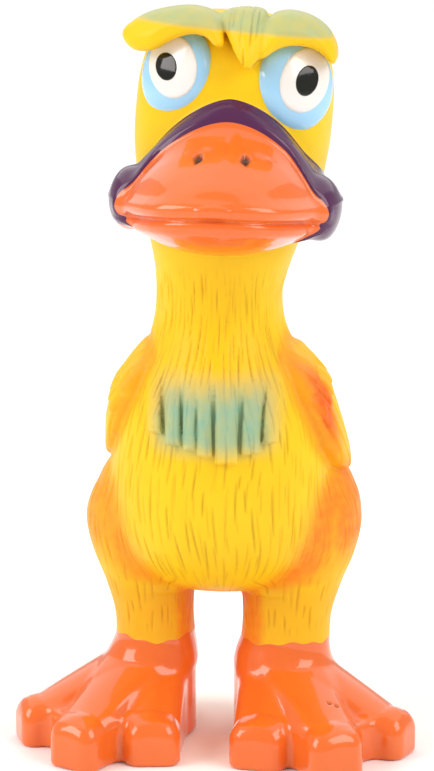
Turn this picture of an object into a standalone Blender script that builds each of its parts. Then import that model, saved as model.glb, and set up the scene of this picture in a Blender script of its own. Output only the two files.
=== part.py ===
"""A hollow rubber toy bird, 180 mm tall, that stands on its two webbed feet and squeaks when it is squeezed.

The skin is one latex moulding. It is built here as the zones that it is painted and bends in, with a 0.3 mm
gap where two zones meet: rigid zones, soft sleeves at the neck and knees, and a belly that presses in.
A reed squeaker is buttoned into a vent in the back.

Frame: +Z up, the bird faces -Y, its left side is at +X, and the floor is Z = 0. Lengths are in millimetres
until a vertex is made.
"""

import math

import bmesh
import bpy
from mathutils import Matrix, Vector

MM = 0.001
WALL = 1.8  # thickness of the latex skin
GAP = 0.3  # clearance between two zones of the skin
COAT = 0.45  # thickness of a brushed-on paint patch
SIDES = 32  # points around the body and head
LEG_SIDES = 20
RING_PITCH = 5.0  # height between two rings of the skin

# Heights of the cuts between the zones of the neck and legs.
TORSO_TOP = 99.5
COLLAR_BOTTOM, COLLAR_TOP = 107.5, 112.2
HEAD_BOTTOM = 120.0
HIP_BOTTOM, SHANK_TOP, FOOT_TOP = 38.0, 29.5, 25.0

# The head leans to the bird's left, about this point on the neck.
LEAN_DEG = 5.0
LEAN_HEIGHT = 112.0

# height, half width, reach forward, reach back
TORSO_KNOTS = (
    (37, 7, 5, 9),
    (39, 14, 12, 15),
    (44, 21, 20.5, 20.5),
    (52, 26, 27, 25),
    (62, 27.5, 29.5, 27),
    (74, 26.5, 29, 26.5),
    (84, 24.5, 27, 24),
    (92, 21.5, 24, 20),
    (98, 18.3, 20.5, 16),
    (104, 15.9, 18, 13.5),
    (112, 15.2, 17.3, 12.5),
    (121, 16, 17.5, 13.2),
)
HEAD_KNOTS = (
    (119, 15.8, 17.5, 13),
    (127, 18.5, 18.5, 16),
    (135, 21.5, 19.5, 18.5),
    (144, 23.2, 20.5, 20),
    (154, 23.5, 21, 20.5),
    (162, 22.6, 20.2, 19.5),
    (169, 19, 17, 16.5),
    (174, 13.5, 12, 12),
    (176.5, 7, 6.5, 7),
)
# height, centre to the side, centre back, half width, half depth
LEG_KNOTS = (
    (24, 16.5, 0, 10.5, 10),
    (30, 16.6, 0, 10.3, 10.2),
    (38, 17.6, 0.5, 11.6, 12),
    (46, 19.3, 1.5, 13.2, 15),
    (54, 20.5, 2.5, 13.4, 17),
    (62, 20.5, 3, 12, 16),
    (68, 20, 3, 8.5, 11.5),
    (71, 19.5, 3, 3.5, 5),
)
# reach forward, half width, top, widest height, bottom
BILL_KNOTS = (
    (8, 26.3, 163.5, 134.5, 124),
    (16, 26.5, 161.5, 134.5, 123.5),
    (25, 24.5, 155, 135, 124),
    (33, 20.3, 149, 135.5, 125.5),
    (39, 15.6, 145, 136, 126.8),
    (43, 11.2, 142.4, 136.2, 129.2),
    (45.5, 7, 139.8, 136.2, 131.8),
)
BAND_FRONT, BAND_BACK, BAND_PROUD = 24.0, 8.5, 1.5

# A toe's tip: to the side, forward, radius seen from above, height. The heel is one more, pointing back.
TOES = ((9.5, 21, 5.3, 11), (30, 26.5, 6, 12.5), (43.5, 11.5, 5.8, 10.5))
HEEL = (13, -8.5, 7, 14)
FOOT_RINGS = (0, 6, 9.5, 11, 12.5, 15, 18, 21.5, FOOT_TOP)
FOOT_SIDES = 56
WEB_HEIGHT, WEB_REACH = 7.5, 0.8  # the web's edge, and how far along the toes it starts

BELLY_MIDDLE, BELLY_HALF_WIDTH, BELLY_HALF_HEIGHT = 70.0, 17.5, 24.0
BELLY_CORNER = 12.0

VENT_HEIGHT, VENT_RADIUS = 57.0, 7.0
BOSS_RADIUS, BOSS_OUTER, BOSS_INNER = 11.0, 27.5, 20.4

FEATHER_PROUD = 2.0  # how far the chest feathers and wings stand off the body
# Each hanging chest feather: middle, half width, height of its tip.
CHEST_FEATHERS = (
    (-12.4, 1.9, 82.5), (-8.6, 1.9, 79.6), (-4.8, 1.9, 79.0), (-0.9, 2.0, 78.6),
    (4.1, 2.9, 76.0), (9.1, 2.0, 78.2), (13.1, 1.9, 81.0),
)
CHEST_TOP, CHEST_HALF_WIDTH = 95.0, 13.5
# A wing's outline seen from the side: back, up.
WING_OUTLINE = (
    (-12, 97), (-3, 99), (6, 97), (13, 91), (18, 82), (19, 75),
    (14, 73.6), (9, 74), (4, 73.2), (-2, 74.5), (-8, 79), (-13, 86), (-15, 92),
)
SHIFT_BACK = 3.0  # moves the whole bird back, which centres it between bill and tail

YELLOW = (0.95, 0.62, 0.03)
ORANGE = (0.85, 0.17, 0.02)
PURPLE = (0.15, 0.03, 0.13)


# ---------------------------------------------------------------- helpers


def curve_at(knots, t):
    """The row of values at t on a smooth curve through the knots, whose first value is t itself."""
    i = max(1, min(len(knots) - 1, sum(k[0] <= t for k in knots)))
    a, b = knots[i - 1], knots[i]
    before, after = knots[max(0, i - 2)], knots[min(len(knots) - 1, i + 1)]
    span = b[0] - a[0]
    s = (t - a[0]) / span
    row = []
    for n in range(1, len(a)):
        slope_a = (b[n] - before[n]) / (b[0] - before[0]) * span
        slope_b = (after[n] - a[n]) / (after[0] - a[0]) * span
        row.append(
            a[n] * (2 * s**3 - 3 * s**2 + 1)
            + slope_a * (s**3 - 2 * s**2 + s)
            + b[n] * (3 * s**2 - 2 * s**3)
            + slope_b * (s**3 - s**2)
        )
    return row


def steps(low, high, count):
    return [low + (high - low) * n / (count - 1) for n in range(count)]


def levels(low, high):
    """The two heights and each whole multiple of RING_PITCH between, so that neighbours share their rings."""
    first, last = math.floor(low / RING_PITCH) + 1, math.ceil(high / RING_PITCH) - 1
    between = [n * RING_PITCH for n in range(first, last + 1)]
    return [low, *(h for h in between if min(h - low, high - h) > 0.8), high]


def material(name, colour, roughness, metallic=0.0):
    made = bpy.data.materials.get(name) or bpy.data.materials.new(name)
    made.use_nodes = True
    shader = made.node_tree.nodes["Principled BSDF"]
    shader.inputs["Base Color"].default_value = (*colour, 1)
    shader.inputs["Roughness"].default_value = roughness
    shader.inputs["Metallic"].default_value = metallic
    return made


def mesh_object(name, mesh_maker, finish=None):
    """A smooth object from a bmesh that mesh_maker fills in millimetres. With no finish it is a helper."""
    work = bmesh.new()
    mesh_maker(work)
    bmesh.ops.translate(work, vec=(0, SHIFT_BACK, 0), verts=work.verts)
    bmesh.ops.scale(work, vec=(MM, MM, MM), verts=work.verts)
    mesh = bpy.data.meshes.new(name)
    work.to_mesh(mesh)
    work.free()
    mesh.shade_smooth()
    mesh.set_sharp_from_angle(angle=math.radians(40))
    obj = bpy.data.objects.new(name, mesh)
    bpy.context.scene.collection.objects.link(obj)
    if finish:
        mesh.materials.append(finish)
    else:
        obj.hide_render = True
        obj.display_type = "WIRE"
    return obj


def combine(obj, operation, *others):
    for other in others:
        boolean = obj.modifiers.new(operation.lower(), "BOOLEAN")
        boolean.operation = operation
        boolean.object = other


def shell(obj, thickness=WALL):
    """Gives an open surface that faces outwards the thickness of the skin, inwards."""
    solid = obj.modifiers.new("wall", "SOLIDIFY")
    solid.thickness = thickness * MM
    solid.offset = -1
    solid.use_even_offset = True


def add_rings(work, rings, cap_start, cap_end):
    """Joins rings of points with faces, all running the same way round, and caps the ends asked for."""
    loops = [[work.verts.new(p) for p in ring] for ring in rings]
    count = len(loops[0])
    for low, high in zip(loops, loops[1:]):
        for n in range(count):
            m = (n + 1) % count
            work.faces.new((low[n], low[m], high[m], high[n]))
    if cap_start:
        work.faces.new(loops[0][::-1])
    if cap_end:
        work.faces.new(loops[-1])


def cylinder(name, radius, y_low, y_high, centre=(0, 0), finish=None, sides=28):
    """A cylinder along Y, centred at this (x, z)."""

    def fill(work):
        bmesh.ops.create_cone(
            work, cap_ends=True, segments=sides, radius1=radius, radius2=radius, depth=y_high - y_low
        )
        turn = Matrix.Rotation(math.radians(90), 4, "X")
        middle = Matrix.Translation((centre[0], (y_low + y_high) / 2, centre[1]))
        bmesh.ops.transform(work, matrix=middle @ turn, verts=work.verts)

    return mesh_object(name, fill, finish)


def prism(name, outline, axis, low, high):
    """A helper with this outline in the plane across the axis, X or Y, from low to high along it."""

    def fill(work):
        rings = [[(at, u, z) if axis == "X" else (u, at, z) for u, z in outline] for at in (low, high)]
        add_rings(work, rings, True, True)
        bmesh.ops.recalc_face_normals(work, faces=work.faces)

    return mesh_object(name, fill)


def sweep(name, stations, finish, sides=14):
    """A tapering feather through stations of (x, y, z, half width, half thickness), its flat side up."""

    def fill(work):
        points = [Vector(s[:3]) for s in stations]
        rings = []
        for n, (point, station) in enumerate(zip(points, stations)):
            along = (points[min(n + 1, len(points) - 1)] - points[max(n - 1, 0)]).normalized()
            across = along.cross(Vector((0, 0, 1))).normalized()
            up = across.cross(along)
            turns = [2 * math.pi * k / sides for k in range(sides)]
            rings.append([
                point + across * (station[3] * math.cos(t)) + up * (station[4] * math.sin(t)) for t in turns
            ])
        add_rings(work, rings, True, True)
        bmesh.ops.recalc_face_normals(work, faces=work.faces)

    return mesh_object(name, fill, finish)


# ---------------------------------------------------------------- outlines of the skin


def oval_ring(height, half_width, forward, back):
    ring = []
    for n in range(SIDES):
        turn = 2 * math.pi * n / SIDES
        depth = back if math.sin(turn) > 0 else forward
        ring.append(Vector((half_width * math.cos(turn), depth * math.sin(turn), height)))
    return ring


def leaned(point, share=1.0):
    """A point of the head where the head's lean puts it, or part of the way there on the neck."""
    pivot = Vector((0, 0, LEAN_HEIGHT))
    turn = Matrix.Rotation(math.radians(LEAN_DEG * share), 3, "Y")
    return pivot + turn @ (Vector(point) - pivot)


def lean_share(height):
    """How much of the head's lean the neck has at this height."""
    s = (height - COLLAR_BOTTOM) / (HEAD_BOTTOM - COLLAR_BOTTOM)
    s = min(1, max(0, s))
    return s * s * (3 - 2 * s)


def trunk_surface(low, high, grow=0.0, cap_start=False, cap_end=False):
    """A filler for the torso and neck between two heights."""

    def fill(work):
        rings = []
        for height in levels(low, high):
            half_width, forward, back = (v + grow for v in curve_at(TORSO_KNOTS, height))
            ring = oval_ring(height, half_width, forward, back)
            rings.append([leaned(p, lean_share(height)) for p in ring])
        if cap_start:
            rings[0] = [p - Vector((0, 0, grow)) for p in rings[0]]
        add_rings(work, rings, cap_start, cap_end)

    return fill


def head_surface(grow=0.0, cap_start=False):
    top = HEAD_KNOTS[-1][0]

    def fill(work):
        heights = steps(HEAD_BOTTOM, 168, 9) + [171, 173.5, 175.5, top]
        rings = []
        for height in heights:
            half_width, forward, back = (v + grow for v in curve_at(HEAD_KNOTS, height))
            raised = height + (grow if height == top else 0)
            rings.append([leaned(p) for p in oval_ring(raised, half_width, forward, back)])
        add_rings(work, rings, cap_start, True)

    return fill


def leg_surface(side, low, high, grow=0.0, cap_start=False, cap_end=False):
    """A filler for one leg between two heights. side is +1 for the bird's left."""

    def fill(work):
        rings = []
        for height in levels(low, high):
            across, back, half_width, half_depth = curve_at(LEG_KNOTS, height)
            ring = []
            for n in range(LEG_SIDES):
                turn = 2 * math.pi * n / LEG_SIDES
                ring.append(Vector((
                    side * across + (half_width + grow) * math.cos(turn),
                    back + (half_depth + grow) * math.sin(turn),
                    height,
                )))
            rings.append(ring)
        add_rings(work, rings, cap_start, cap_end)

    return fill


def bill_ring(forward, grow=0.0, sides=32):
    """The bill's outline at this reach: a rounded triangle above its widest height and an oval below."""
    half_width, top, middle, bottom = curve_at(BILL_KNOTS, forward)
    ring = []
    for n in range(sides):
        turn = 2 * math.pi * n / sides
        rise = math.sin(turn)
        power = 1.45 if rise > 0 else 0.9
        reach = (top - middle if rise > 0 else middle - bottom) + grow
        across = (half_width + grow) * math.copysign(abs(math.cos(turn)) ** 0.9, math.cos(turn))
        ring.append(leaned((across, -forward, middle + math.copysign(abs(rise) ** power * reach, rise))))
    return ring


def bill_surface(back, front, grow=0.0, cap_start=False, cap_end=True):
    def fill(work):
        rings = [bill_ring(forward, grow) for forward in steps(back, front, 8)]
        add_rings(work, rings, cap_start, cap_end)

    return fill


def mouth_height(forward):
    """The mouth line falls towards the corners of the mouth."""
    return 135.4 - 0.17 * (46 - forward)


# ---------------------------------------------------------------- the skin's zones


def belly_prism(name, grow):
    """A rounded rectangle seen from the front, extruded along Y: it cuts the belly from the torso."""

    def fill(work):
        corner = BELLY_CORNER + grow
        ring = []
        for quarter, (sx, sz) in enumerate(((1, 1), (-1, 1), (-1, -1), (1, -1))):
            for n in range(7):
                turn = math.pi / 2 * (quarter + n / 6)
                ring.append((
                    sx * (BELLY_HALF_WIDTH - BELLY_CORNER) + corner * math.cos(turn),
                    BELLY_MIDDLE + sz * (BELLY_HALF_HEIGHT - BELLY_CORNER) + corner * math.sin(turn),
                ))
        add_rings(work, [[(x, y, z) for x, z in ring] for y in (-5, -40)], True, True)
        bmesh.ops.recalc_face_normals(work, faces=work.faces)

    return mesh_object(name, fill)


def make_torso(latex):
    torso_bottom = TORSO_KNOTS[0][0]
    solid_torso = mesh_object(
        "torso_clearance", trunk_surface(torso_bottom, TORSO_TOP, GAP, True, True)
    )
    hollow = mesh_object(
        "torso_hollow", trunk_surface(torso_bottom + WALL, TORSO_TOP + 5, -WALL, True, True)
    )
    torso = mesh_object("torso_skin", trunk_surface(torso_bottom, TORSO_TOP, 0, True), latex)
    shell(torso)
    boss = cylinder("vent_boss", BOSS_RADIUS, BOSS_INNER, BOSS_OUTER, (0, VENT_HEIGHT))
    bore = cylinder("vent_bore", VENT_RADIUS, BOSS_INNER - 8, BOSS_OUTER + 8, (0, VENT_HEIGHT))
    legs = [
        mesh_object(
            f"leg_clearance_{side}", leg_surface(side, FOOT_TOP, LEG_KNOTS[-1][0], GAP, True, True)
        )
        for side in (1, -1)
    ]
    combine(torso, "UNION", boss)
    combine(torso, "DIFFERENCE", *legs, belly_prism("belly_opening", GAP), bore)

    belly = mesh_object("belly_skin", trunk_surface(torso_bottom, TORSO_TOP, 0, True), latex)
    shell(belly)
    combine(belly, "DIFFERENCE", *legs)
    combine(belly, "INTERSECT", belly_prism("belly_outline", 0))
    return solid_torso, hollow


def make_neck(latex):
    zones = (
        ("neck_lower_sleeve", TORSO_TOP + GAP, COLLAR_BOTTOM - GAP),
        ("neck_collar", COLLAR_BOTTOM, COLLAR_TOP),
        ("neck_upper_sleeve", COLLAR_TOP + GAP, HEAD_BOTTOM - GAP),
    )
    for name, low, high in zones:
        shell(mesh_object(name, trunk_surface(low, high), latex))


def make_legs(latex, orange, hollow):
    for side, word in ((1, "left"), (-1, "right")):
        zones = (
            (f"{word}_hip", HIP_BOTTOM + GAP, LEG_KNOTS[-1][0], True),
            (f"{word}_knee_sleeve", SHANK_TOP + GAP, HIP_BOTTOM, False),
            (f"{word}_shank", FOOT_TOP + GAP, SHANK_TOP, False),
        )
        for name, low, high, closed in zones:
            zone = mesh_object(name, leg_surface(side, low, high, cap_end=closed), latex)
            shell(zone)
            if name.endswith(("hip", "sleeve")):
                combine(zone, "DIFFERENCE", hollow)
        make_foot(f"{word}_foot", side, orange)


def toe_reach(turn, toe, height):
    """How far a toe reaches from the ankle in this direction, at this height."""
    across, back = LEG_KNOTS[0][1:3]
    x, forward, radius, top = toe
    x, y = x - across, -forward - back
    left = 1 - max(0, (height - top) / (FOOT_TOP + 2 - top))
    length, radius = math.hypot(x, y) * left, radius * (0.35 + 0.65 * left)
    off = abs((turn - math.atan2(y, x) + math.pi) % (2 * math.pi) - math.pi)
    if off > math.radians(80):
        return 0
    if length * math.sin(off) < radius:
        return length * math.cos(off) + math.sqrt(radius**2 - (length * math.sin(off)) ** 2)
    return radius / math.sin(off)


def web_reach(turn, a, b, height):
    """How far the web between toes a and b reaches in this direction, at this height."""
    across, back = LEG_KNOTS[0][1:3]
    ends = [Vector((t[0] - across, -t[1] - back)) * WEB_REACH for t in (a, b)]
    ray = Vector((math.cos(turn), math.sin(turn)))
    edge = ends[1] - ends[0]
    denominator = ray.x * edge.y - ray.y * edge.x
    if abs(denominator) < 1e-6:
        return 0
    reach = (ends[0].x * edge.y - ends[0].y * edge.x) / denominator
    share = (ends[0].x * ray.y - ends[0].y * ray.x) / denominator
    if reach < 0 or not 0 <= share <= 1:
        return 0
    left = 1 - max(0, (height - WEB_HEIGHT) / (FOOT_TOP - WEB_HEIGHT))
    return reach * (left**1.6)


def make_foot(name, side, orange):
    """Three toes with upright tips, the webs between them and a heel, all falling from one ankle."""
    across, back, half_width, half_depth = curve_at(LEG_KNOTS, FOOT_TOP)
    turns = [2 * math.pi * n / FOOT_SIDES for n in range(FOOT_SIDES)]

    def reach(turn, height):
        size = math.hypot(half_depth * math.cos(turn), half_width * math.sin(turn))
        ankle = half_width * half_depth / size
        ankle += 0.12 * (FOOT_TOP - height)
        if height == FOOT_TOP:
            return ankle
        toes = [toe_reach(turn, toe, height) for toe in (*TOES, HEEL)]
        webs = [web_reach(turn, a, b, height) for a, b in zip(TOES, TOES[1:])]
        return max(ankle, *toes, *webs)

    def fill(work):
        rings = []
        for height in FOOT_RINGS:
            ring = []
            for turn in turns:
                r = reach(turn, height)
                ring.append((side * (across + r * math.cos(turn)), back + r * math.sin(turn), height))
            rings.append(ring)
        add_rings(work, rings, True, True)
        bmesh.ops.recalc_face_normals(work, faces=work.faces)

    mesh_object(name, fill, orange)


def make_head(latex):
    head = mesh_object("head_skin", head_surface(), latex)
    shell(head)
    room = mesh_object(
        "bill_clearance", bill_surface(BAND_BACK - GAP, BILL_KNOTS[-1][0], BAND_PROUD + GAP, True)
    )
    combine(head, "DIFFERENCE", room)
    outside = mesh_object("head_clearance", head_surface(GAP, True))
    inside = mesh_object("head_hollow", head_surface(-WALL, True))
    return outside, inside, room


def mouth_half_space(name, above):
    """Everything above or below the mouth line, less half the gap."""

    def fill(work):
        limit = 200 if above else 100
        edge = GAP / 2 if above else -GAP / 2
        ring = [(-60, mouth_height(-20) + edge), (60, mouth_height(-20) + edge), (60, limit), (-60, limit)]
        near = [leaned((x, 20, z)) for x, z in ring]
        ring = [(-60, mouth_height(60) + edge), (60, mouth_height(60) + edge), (60, limit), (-60, limit)]
        far = [leaned((x, -60, z)) for x, z in ring]
        add_rings(work, [near, far], True, True)
        bmesh.ops.recalc_face_normals(work, faces=work.faces)

    return mesh_object(name, fill)


def make_bill(orange, purple, head_inside):
    front = BILL_KNOTS[-1][0]
    for name, above in (("upper_bill", True), ("lower_bill", False)):
        half = mesh_object(name, bill_surface(BAND_BACK, front), orange)
        shell(half)
        combine(half, "DIFFERENCE", head_inside)
        combine(half, "INTERSECT", mouth_half_space(f"{name}_side", above))

    def band(work):
        outer = [bill_ring(f, BAND_PROUD) for f in steps(BAND_BACK, BAND_FRONT, 5)]
        inner = [bill_ring(f, GAP) for f in steps(BAND_BACK, BAND_FRONT, 5)]
        add_rings(work, outer + inner[::-1] + outer[:1], False, False)
        bmesh.ops.remove_doubles(work, verts=work.verts, dist=1e-4)
        bmesh.ops.recalc_face_normals(work, faces=work.faces)

    trim = mesh_object("bill_trim", band, purple)
    combine(trim, "DIFFERENCE", head_inside)


# ---------------------------------------------------------------- relief and painted patches

EYE_ACROSS, EYE_HEIGHT, EYE_BACK = 13.6, 163.0, 13.6
EYE_RADII = (9.6, 10.9, 5.0)  # half width, half height, how far it bulges
EYE_TURN, EYE_UP, EYE_ROLL = 34.0, 10.0, 9.0


def eye_matrix(side):
    """The eye's own frame: X across it, Y up it and Z out of it."""
    face = Matrix.Rotation(math.radians(90), 4, "X")
    turn = Matrix.Rotation(math.radians(side * EYE_TURN), 4, "Z")
    tip_up = Matrix.Rotation(math.radians(-EYE_UP), 4, "X")
    roll = Matrix.Rotation(math.radians(side * EYE_ROLL), 4, "Z")
    place = Matrix.Translation((side * EYE_ACROSS, -EYE_BACK, EYE_HEIGHT))
    return place @ turn @ tip_up @ face @ roll


def dome(name, side, radii, centre=(0, 0), finish=None, rows=10, around=24):
    def fill(work):
        bmesh.ops.create_uvsphere(work, u_segments=around, v_segments=rows, radius=1)
        bmesh.ops.scale(work, vec=radii, verts=work.verts)
        bmesh.ops.translate(work, vec=(*centre, 0), verts=work.verts)
        bmesh.ops.transform(work, matrix=eye_matrix(side), verts=work.verts)
        for v in work.verts:
            v.co = leaned(v.co)

    return mesh_object(name, fill, finish)


def patch_cutter(name, side, centre, half_width, half_height):
    """An oval prism out of the eye, which outlines a painted patch."""

    def fill(work):
        bmesh.ops.create_cone(work, cap_ends=True, segments=24, radius1=1, radius2=1, depth=14)
        bmesh.ops.scale(work, vec=(half_width, half_height, 1), verts=work.verts)
        bmesh.ops.translate(work, vec=(*centre, 7), verts=work.verts)
        bmesh.ops.transform(work, matrix=eye_matrix(side), verts=work.verts)
        for v in work.verts:
            v.co = leaned(v.co)

    return mesh_object(name, fill)


def make_eyes(blue, white, black, *neighbours):
    """Blue domes, with the white and the pupil lying on each as coats. Returns the room each eye takes."""
    rooms = []
    for side, word in ((1, "left"), (-1, "right")):
        eye = dome(f"{word}_eye", side, EYE_RADII, finish=blue)
        combine(eye, "DIFFERENCE", *neighbours)
        patches = (
            (f"{word}_eye_white", GAP, (side * 2.2, 1.8), 7.0, 8.0, white),
            (f"{word}_pupil", 2 * GAP + COAT, (side * 2.6, 3.2), 2.9, 3.8, black),
        )
        for name, above, centre, half_width, half_height, finish in patches:
            top = tuple(r + above + COAT for r in EYE_RADII)
            under = tuple(r + above for r in EYE_RADII)
            patch = dome(name, side, top, finish=finish)
            outline = patch_cutter(f"{name}_outline", side, centre, half_width, half_height)
            combine(patch, "INTERSECT", outline)
            combine(patch, "DIFFERENCE", dome(f"{name}_under", side, under), *neighbours)
        room = tuple(r + 3 * GAP + 2 * COAT for r in EYE_RADII)
        rooms.append(dome(f"{word}_eye_room", side, room))
    return rooms


def lean_stations(stations, grow=0.0):
    return [(*leaned(station[:3]), *(size + grow for size in station[3:])) for station in stations]


def make_crest(latex, *neighbours):
    """Two brows and a forehead tuft on top of the head, each a feather of its own."""
    feathers = {
        "right_brow": (
            (-4.6, -12, 173.2, 3.0, 2.4), (-10, -16.5, 174.3, 4.4, 2.6), (-16, -16.5, 173.6, 4.2, 2.3),
            (-22, -13, 171.4, 3.0, 1.7), (-26.5, -9.5, 170.2, 1.0, 0.8),
        ),
        "left_brow": (
            (6.8, -12, 173.2, 3.0, 2.4), (11.5, -16, 174, 4.2, 2.6), (16.5, -14, 172, 4.0, 2.3),
            (20.8, -9, 168.8, 3.0, 1.8), (22.6, -4, 165.4, 1.2, 0.9),
        ),
        "forehead_tuft": (
            (0.8, -4, 176.2, 4.6, 2.2), (0.9, -12, 175.8, 4.6, 2.6), (1.4, -18.5, 173.6, 3.8, 2.4),
            (2.6, -22.2, 170, 2.6, 1.8), (3.6, -23.4, 166.6, 1.2, 1.0),
        ),
    }
    tuft_room = sweep("tuft_room", lean_stations(feathers["forehead_tuft"], GAP), None)
    for name, stations in feathers.items():
        feather = sweep(name, lean_stations(stations), latex)
        combine(feather, "DIFFERENCE", *neighbours)
        if name != "forehead_tuft":
            combine(feather, "DIFFERENCE", tuft_room)


def make_chest(teal, torso_outside):
    """One patch of hanging feathers on the chest, its lower edge running round each feather's tip."""
    outline = [(CHEST_HALF_WIDTH, CHEST_TOP), (-CHEST_HALF_WIDTH, CHEST_TOP)]
    for middle, half_width, tip in CHEST_FEATHERS:
        outline.append((middle - half_width, tip + 4))
        for n in range(1, 6):
            turn = math.pi * (1 + n / 6)
            outline.append((middle + 0.9 * half_width * math.cos(turn), tip + 3 + 3 * math.sin(turn)))
    outline.append((middle + half_width, tip + 4))
    chest = mesh_object("chest_tuft", trunk_surface(60, 112, FEATHER_PROUD + GAP, True, True), teal)
    combine(chest, "INTERSECT", prism("chest_outline", outline, "Y", -50, -5))
    combine(chest, "DIFFERENCE", torso_outside)


def make_wings(latex, torso_outside):
    for side, word in ((1, "left"), (-1, "right")):
        wing = mesh_object(
            f"{word}_wing", trunk_surface(60, 112, FEATHER_PROUD + GAP, True, True), latex
        )
        low, high = (10, 50) if side > 0 else (-50, -10)
        combine(wing, "INTERSECT", prism(f"{word}_wing_outline", WING_OUTLINE, "X", low, high))
        combine(wing, "DIFFERENCE", torso_outside)


def make_tail(latex, torso_outside):
    stations = (
        (0, 17, 76, 9, 6),
        (0, 26, 78, 9.5, 5),
        (0, 32, 80, 8.5, 3.8),
        (0, 37, 82.5, 6, 2.8),
        (0, 39.4, 85, 2.5, 1.6),
    )
    combine(sweep("tail_tuft", stations, latex, 18), "DIFFERENCE", torso_outside)


# ---------------------------------------------------------------- squeaker

HOUSING_WALL = 1.2
LIP_RADIUS, LIP_THICK = 8.6, 1.4
REED_LENGTH, REED_WIDTH, REED_THICK = 8.0, 3.0, 0.4
PLATE_THICK = 1.4


def turned(name, outline, finish=None, sides=32):
    """A ring turned round the vent's axis, from its outline of (radius, back)."""

    def fill(work):
        rings = []
        for radius, back in (*outline, outline[0]):
            turns = [2 * math.pi * n / sides for n in range(sides)]
            rings.append([
                (radius * math.cos(t), back, VENT_HEIGHT + radius * math.sin(t)) for t in turns
            ])
        add_rings(work, rings, False, False)
        bmesh.ops.remove_doubles(work, verts=work.verts, dist=1e-4)
        bmesh.ops.recalc_face_normals(work, faces=work.faces)

    return mesh_object(name, fill, finish)


def block(name, low, high, finish=None):
    """A box between two corners, given in the vent's own frame: across, back, up."""

    def fill(work):
        bmesh.ops.create_cube(work, size=1)
        for v in work.verts:
            v.co = Vector((a if c < 0 else b for c, a, b in zip(v.co, low, high)))
        bmesh.ops.translate(work, vec=(0, 0, VENT_HEIGHT), verts=work.verts)

    return mesh_object(name, fill, finish)


def make_squeaker(plastic, brass):
    """A plastic plug gripped by the vent's lip: housing, slotted reed plate, reed and perforated cap."""
    outside = VENT_RADIUS - GAP
    bore = outside - HOUSING_WALL
    flange_out, lip_in = BOSS_OUTER + GAP, BOSS_INNER - GAP
    turned("squeaker_housing", (
        (outside, lip_in), (outside, flange_out), (LIP_RADIUS, flange_out),
        (LIP_RADIUS, flange_out + LIP_THICK), (bore, flange_out + LIP_THICK),
        (bore, lip_in - LIP_THICK), (LIP_RADIUS, lip_in - LIP_THICK), (LIP_RADIUS, lip_in),
    ), plastic)
    plate_back = lip_in + 1.5
    plate = cylinder(
        "reed_plate", bore - GAP, plate_back - PLATE_THICK, plate_back, (0, VENT_HEIGHT), plastic, 32
    )
    slot = block(
        "reed_slot",
        (-REED_WIDTH / 2 - 0.4, plate_back - 5, -REED_LENGTH / 2 + 1.5),
        (REED_WIDTH / 2 + 0.4, plate_back + 5, REED_LENGTH / 2 + 0.4),
    )
    combine(plate, "DIFFERENCE", slot)
    block(
        "reed",
        (-REED_WIDTH / 2, plate_back + GAP, -REED_LENGTH / 2),
        (REED_WIDTH / 2, plate_back + GAP + REED_THICK, REED_LENGTH / 2),
        brass,
    )
    cap_back = flange_out + LIP_THICK
    cap = cylinder("squeaker_cap", bore - GAP, cap_back - 1.5, cap_back - 0.3, (0, VENT_HEIGHT), plastic, 32)
    holes = [
        cylinder(f"cap_hole_{n}", 0.9, cap_back - 4, cap_back + 4,
                 (2.8 * math.cos(t), VENT_HEIGHT + 2.8 * math.sin(t)), sides=12)
        for n, t in enumerate(math.pi / 3 * k for k in range(6))
    ]
    combine(cap, "DIFFERENCE", *holes)


def clear_scene():
    for obj in list(bpy.data.objects):
        bpy.data.objects.remove(obj)


def main():
    clear_scene()
    latex = material("yellow_latex", YELLOW, 0.5)
    orange = material("orange_gloss", ORANGE, 0.2)
    purple = material("purple_gloss", PURPLE, 0.25)
    teal = material("teal_feather", (0.25, 0.5, 0.42), 0.4)
    plastic = material("white_plastic", (0.85, 0.85, 0.82), 0.35)
    brass = material("reed_brass", (0.7, 0.5, 0.2), 0.3, 1.0)
    blue = material("blue_gloss", (0.25, 0.58, 0.9), 0.15)
    white = material("white_gloss", (0.9, 0.88, 0.84), 0.15)
    black = material("black_gloss", (0.01, 0.01, 0.01), 0.12)
    torso_outside, hollow = make_torso(latex)
    make_neck(latex)
    make_legs(latex, orange, hollow)
    head_outside, head_inside, bill_room = make_head(latex)
    make_bill(orange, purple, head_inside)
    eye_rooms = make_eyes(blue, white, black, head_outside, bill_room)
    make_crest(latex, head_outside, *eye_rooms)
    make_chest(teal, torso_outside)
    make_wings(latex, torso_outside)
    make_tail(latex, torso_outside)
    make_squeaker(plastic, brass)


main()
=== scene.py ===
"""The looks of the rubber bird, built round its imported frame.

The painted latex skin is one smooth surface. It is described as a distance field of soft shapes, meshed,
given its feather grooves, and cut along its paint lines and bending lines into the pieces that stand for the
frame's nodes. Lengths are in millimetres until a mesh is made. The bird faces -Y, and its left side is at +X.
"""

import math

import bpy
import numpy as np
from mathutils import Matrix, Vector


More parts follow.
